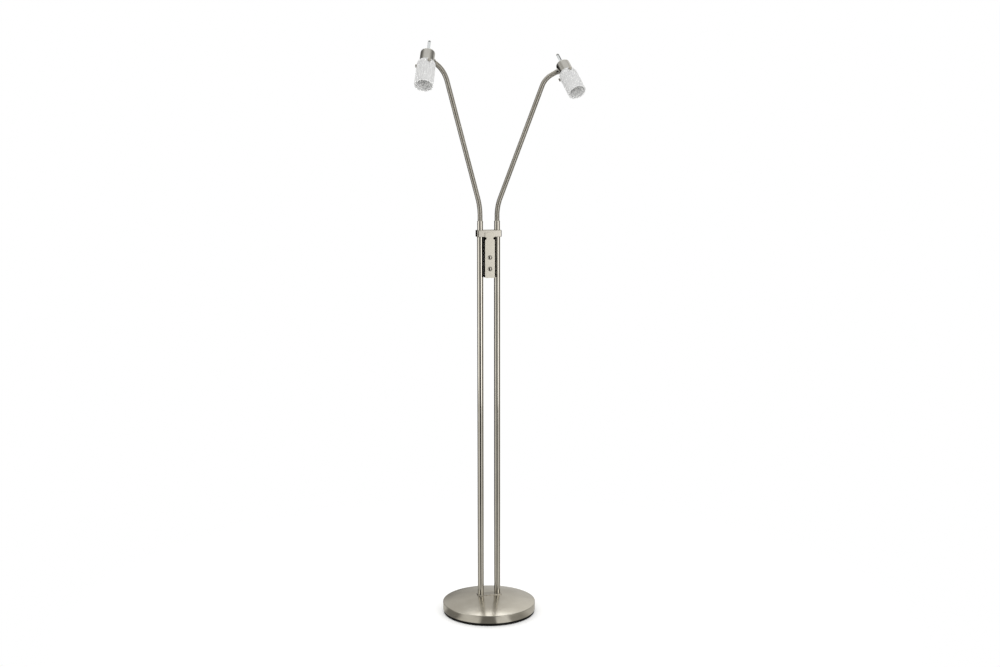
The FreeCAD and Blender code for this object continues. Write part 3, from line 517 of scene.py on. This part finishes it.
def wire(name, points, radius, finish, body):
    """A bent wire through a few points, in the lamp's axes, as a closed mesh."""
    curve = bpy.data.curves.new(name, "CURVE")
    curve.dimensions = "3D"
    curve.bevel_depth = radius
    curve.bevel_resolution = 2
    curve.use_fill_caps = True
    spline = curve.splines.new("NURBS")
    spline.points.add(len(points) - 1)
    for control, place in zip(spline.points, points):
        control.co = (*place, 1)
    spline.order_u = 3
    spline.use_endpoint_u = True
    spline.resolution_u = 6
    drawn = bpy.data.objects.new(name + "_curve", curve)
    scene.collection.objects.link(drawn)
    depsgraph = bpy.context.evaluated_depsgraph_get()
    mesh = bpy.data.meshes.new_from_object(drawn.evaluated_get(depsgraph))
    bpy.data.objects.remove(drawn)
    mesh.name = name
    mesh.materials.append(finish)
    made = bpy.data.objects.new(name, mesh)
    scene.collection.objects.link(made)
    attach(made, body)
    return made


# All in millimetres, in the head's own axes.
COIL_TURNS, COIL_POINTS = 9, 8
COIL_RADIUS, COIL_HALF, COIL_LEVEL = 0.9, 3.2, -24
COIL_WIRE, LEAD_WIRE = 0.16, 0.25
for side in HEADS:
    to_head = head_matrix(side)
    coil = [(COIL_RADIUS * MM * math.cos(a * math.tau / COIL_POINTS),
             (-COIL_HALF + 2 * COIL_HALF * a / (COIL_POINTS * COIL_TURNS)) * MM,
             (COIL_LEVEL + COIL_RADIUS * math.sin(a * math.tau / COIL_POINTS)) * MM)
            for a in range(COIL_POINTS * COIL_TURNS + 1)]
    wire("filament_" + side, [to_head @ Vector(p) for p in coil], COIL_WIRE * MM, tungsten,
         "head_" + side)
    for end, y in (("a", -COIL_HALF), ("b", COIL_HALF)):
        leads = [(0, y * 0.8 * MM, -4 * MM), (0, y * MM, -10 * MM),
                 (0.2 * MM, y * 1.15 * MM, -18 * MM), (COIL_RADIUS * MM, y * MM, COIL_LEVEL * MM)]
        wire("lead_%s_%s" % (end, side), [to_head @ Vector(p) for p in leads], LEAD_WIRE * MM,
             tungsten, "head_" + side)
print("added a filament and two leads to each lamp")

# %% [markdown]
# ## Floor and light
# A small lamp with shiny metal shows its studio more than its own colour, so the studio is
# kept plain: a pale floor, a soft wide box at the left, a brighter one at the right, and one
# high up behind. Behind the lamp and under it all is white. On the camera's side the white
# sweep ends and the room is dim, and that gives the tubes their thin dark line.
# Two colour ramps are wound round the lamp like a panorama: one tells metal how bright the
# room is on the level in each direction, and the other how bright it is higher up. The
# directions are fixed in the room, so flat metal turns dark when it is seen from another side.


# %% How bright the room is all round
def round_the_lamp(*tones):
    """Ramp stops from (degrees to the right of the camera's side, sRGB chip) pairs."""
    return [((turn + 180) / 360, chip) for turn, chip in tones]


LEVEL = round_the_lamp((-180, "#c4c2bd"), (-170, "#8a8883"), (-160, "#1d1b1a"), (-106, "#24221f"),
                       (-88, "#dcdad5"), (-60, "#efeeea"), (-34, "#efeeea"), (-26, "#b4b2ac"),
                       (-21, "#0b0a09"), (21, "#0b0a09"), (25, "#fbfaf7"), (60, "#fbfaf7"),
                       (72, "#7d7a74"), (112, "#6f6c66"), (150, "#d5d3ce"), (180, "#c4c2bd"))
HIGHER = round_the_lamp((-180, "#c4c2bd"), (-158, "#cbc9c4"), (-128, "#55534f"), (-96, "#d0cec8"),
                        (-32, "#a8a6a0"), (0, "#2b2927"), (32, "#a8a6a0"), (80, "#d0cec8"),
                        (118, "#6a6863"), (140, "#fbf9f4"), (160, "#fbf9f4"), (180, "#c4c2bd"))
CEILING = "#f1f0ec"
HIGHER_FROM, HIGHER_ALL = 0.12, 0.35
CEILING_FROM, CEILING_ALL = 0.74, 0.86
EVEN_LIGHT = 0.8


def panorama(tree, way, tones, half_turn=math.pi):
    """Colour of the room in a vector's level direction, wound over twice half_turn, in radians."""
    right, near = [add(tree, "ShaderNodeVectorMath", {0: way, 1: side}, operation="DOT_PRODUCT")
                   for side in (TO_RIGHT, TO_CAMERA)]
    turn = add(tree, "ShaderNodeMath", {0: right.outputs["Value"], 1: near.outputs["Value"]},
               operation="ARCTAN2")
    share = add(tree, "ShaderNodeMapRange", {"Value": turn.outputs[0], "From Min": -half_turn,
                                             "From Max": half_turn})
    ramp = add(tree, "ShaderNodeValToRGB", {"Fac": share.outputs[0]})
    stops = ramp.color_ramp.elements
    while len(stops) < len(tones):
        stops.new(0.5)
    for stop, (at, chip) in zip(stops, tones):
        stop.position = at
        stop.color = linear(chip)
    return ramp.outputs["Color"]


print("the panorama has", len(LEVEL), "tones on the level and", len(HIGHER), "higher up")

# %% World
world = bpy.data.worlds.new("studio")
world.use_nodes = True
scene.world = world
sky = world.node_tree
sky.nodes.clear()
way = add(sky, "ShaderNodeTexCoord").outputs["Generated"]
rise = add(sky, "ShaderNodeSeparateXYZ", {"Vector": way}).outputs["Z"]
room = panorama(sky, way, LEVEL)
for upper, low, high in ((panorama(sky, way, HIGHER), HIGHER_FROM, HIGHER_ALL),
                         (linear(CEILING), CEILING_FROM, CEILING_ALL)):
    share = add(sky, "ShaderNodeMapRange", {"Value": rise, "From Min": low, "From Max": high})
    room = add(sky, "ShaderNodeMix", {"Factor": share.outputs[0], "A": room, "B": upper},
               data_type="RGBA").outputs["Result"]
rays = add(sky, "ShaderNodeLightPath")
seen = add(sky, "ShaderNodeMath", {0: rays.outputs["Is Camera Ray"],
                                   1: rays.outputs["Is Transmission Ray"]}, operation="MAXIMUM")
even = add(sky, "ShaderNodeBackground", {"Color": linear("#ffffff"), "Strength": EVEN_LIGHT})
mirrored = add(sky, "ShaderNodeBackground", {"Color": room, "Strength": 1.0})
white = add(sky, "ShaderNodeBackground", {"Color": linear("#ffffff"), "Strength": 1.0})
gloss = add(sky, "ShaderNodeMixShader", {0: rays.outputs["Is Glossy Ray"], 1: even.outputs[0],
                                         2: mirrored.outputs[0]})
shown = add(sky, "ShaderNodeMixShader", {0: seen.outputs[0], 1: gloss.outputs[0],
                                         2: white.outputs[0]})
add(sky, "ShaderNodeOutputWorld", {"Surface": shown.outputs[0]})
scene.view_settings.view_transform = "Standard"
print("world: white behind the lamp, dim behind the camera")


# %% Soft boxes
def soft_box(name, azimuth, distance, height, width, tall, brightness, aim=0.7):
    """A rectangular light; azimuth is from the camera's side to the right, in degrees."""
    a = math.radians(azimuth)
    light = bpy.data.lights.new(name, "AREA")
    light.shape = "RECTANGLE"
    light.size = width
    light.size_y = tall
    light.energy = brightness * math.pi * width * tall
    made = bpy.data.objects.new(name, light)
    made.location = ((TO_CAMERA * math.cos(a) + TO_RIGHT * math.sin(a)) * distance
                     + Vector((0, 0, height)))
    made.rotation_euler = (Vector((0, 0, aim)) - made.location).to_track_quat("-Z", "Y").to_euler()
    scene.collection.objects.link(made)
    return made


soft_box("right_box", 41, 2.4, 1.1, 1.2, 2.6, 1.25)
soft_box("left_box", -78, 2.6, 1.2, 1.3, 2.4, 0.9)
soft_box("top_box", 184, 2.0, 3.3, 2.2, 1.1, 1.5, aim=0.0)
print("three soft boxes")

# %% [markdown]
# The floor is real paper only where the camera sees the base's own shadow. Further out it is
# plain white, and metal sees the room's tones on it. A floor that near would in truth show one
# pale tone in the rim, so this is a stage trick: up to 17 cm from the middle the panorama is
# wound at double the angle, which gives the rim the bands that a distant room gives a tube.
# A wash of grey near the base stands for the light that the paper itself throws up, and a
# faint glow that only the camera sees keeps the paper pale beside the base.

# %% Floor
sheet = bmesh.new()
bmesh.ops.create_circle(sheet, cap_ends=True, segments=96, radius=40)
floor_mesh = bpy.data.meshes.new("floor")
sheet.to_mesh(floor_mesh)
sheet.free()
floor = bpy.data.objects.new("floor", floor_mesh)
scene.collection.objects.link(floor)
BASE_EDGE = 0.113
WHITE_FROM, WHITE_ALL = 0.25, 1.1
MIRROR_FADE = 0.015
LIFT_FADE, LIFT = 0.002, 0.25
WASH_FROM, WASH_TO, WASH, WASH_CHIP = 0.2, 1.0, 0.35, "#c8c5be"
TIGHT_TO, WIDE_FROM = 0.17, 0.24
paper, tree = start("pale_floor")
place = add(tree, "ShaderNodeTexCoord").outputs["Object"]
rays = add(tree, "ShaderNodeLightPath")
reach = add(tree, "ShaderNodeVectorMath", {0: place}, operation="LENGTH")
far = add(tree, "ShaderNodeMapRange", {"Value": reach.outputs["Value"],
                                       "From Min": WHITE_FROM, "From Max": WHITE_ALL},
          interpolation_type="SMOOTHSTEP")
close_by = add(tree, "ShaderNodeMapRange", {"Value": reach.outputs["Value"],
                                            "From Min": BASE_EDGE,
                                            "From Max": BASE_EDGE + MIRROR_FADE})
edge = add(tree, "ShaderNodeMix", {"Factor": rays.outputs["Is Glossy Ray"],
                                   "A": far.outputs[0], "B": close_by.outputs[0]})
fibres = add(tree, "ShaderNodeTexNoise", {"Vector": place, "Scale": 300.0})
tone = add(tree, "ShaderNodeMix", {"Factor": fibres.outputs[0], "A": linear("#f4f4f3"),
                                   "B": linear("#f8f8f7")}, data_type="RGBA")
matt = add(tree, "ShaderNodeBsdfDiffuse", {"Color": tone.outputs["Result"]})
open_floor = add(tree, "ShaderNodeMapRange", {"Value": reach.outputs["Value"],
                                              "From Min": BASE_EDGE,
                                              "From Max": BASE_EDGE + LIFT_FADE,
                                              "To Max": LIFT})
lift = add(tree, "ShaderNodeMath", {0: rays.outputs["Is Camera Ray"], 1: open_floor.outputs[0]},
           operation="MULTIPLY")
glow = add(tree, "ShaderNodeEmission", {"Color": linear("#ffffff"), "Strength": lift.outputs[0]})
near = add(tree, "ShaderNodeAddShader", {0: matt.outputs[0], 1: glow.outputs[0]})
looked = add(tree, "ShaderNodeMath", {0: rays.outputs["Is Camera Ray"],
                                      1: rays.outputs["Is Glossy Ray"]}, operation="MAXIMUM")
looked = add(tree, "ShaderNodeMath", {0: looked.outputs[0],
                                      1: rays.outputs["Is Transmission Ray"]}, operation="MAXIMUM")
swap = add(tree, "ShaderNodeMath", {0: looked.outputs[0], 1: edge.outputs[0]},
           operation="MULTIPLY")
wash = add(tree, "ShaderNodeMapRange", {"Value": reach.outputs["Value"], "From Min": WASH_FROM,
                                        "From Max": WASH_TO, "To Min": WASH, "To Max": 0.0})
past_base = add(tree, "ShaderNodeMapRange", {"Value": reach.outputs["Value"],
                                             "From Min": TIGHT_TO, "From Max": WIDE_FROM})
room_tones = add(tree, "ShaderNodeMix", {"Factor": past_base.outputs[0],
                                         "A": panorama(tree, place, LEVEL, half_turn=math.pi / 2),
                                         "B": panorama(tree, place, LEVEL)}, data_type="RGBA")
shown = add(tree, "ShaderNodeMix", {"Factor": wash.outputs[0], "A": room_tones.outputs["Result"],
                                    "B": linear(WASH_CHIP)}, data_type="RGBA")
distant = add(tree, "ShaderNodeMix", {"Factor": rays.outputs["Is Glossy Ray"],
                                      "A": linear("#ffffff"), "B": shown.outputs["Result"]},
              data_type="RGBA")
blank = add(tree, "ShaderNodeEmission", {"Color": distant.outputs["Result"], "Strength": 1.0})
close(tree, add(tree, "ShaderNodeMixShader", {0: swap.outputs[0], 1: near.outputs[0],
                                              2: blank.outputs[0]}))
floor_mesh.materials.append(paper)
print("floor laid")
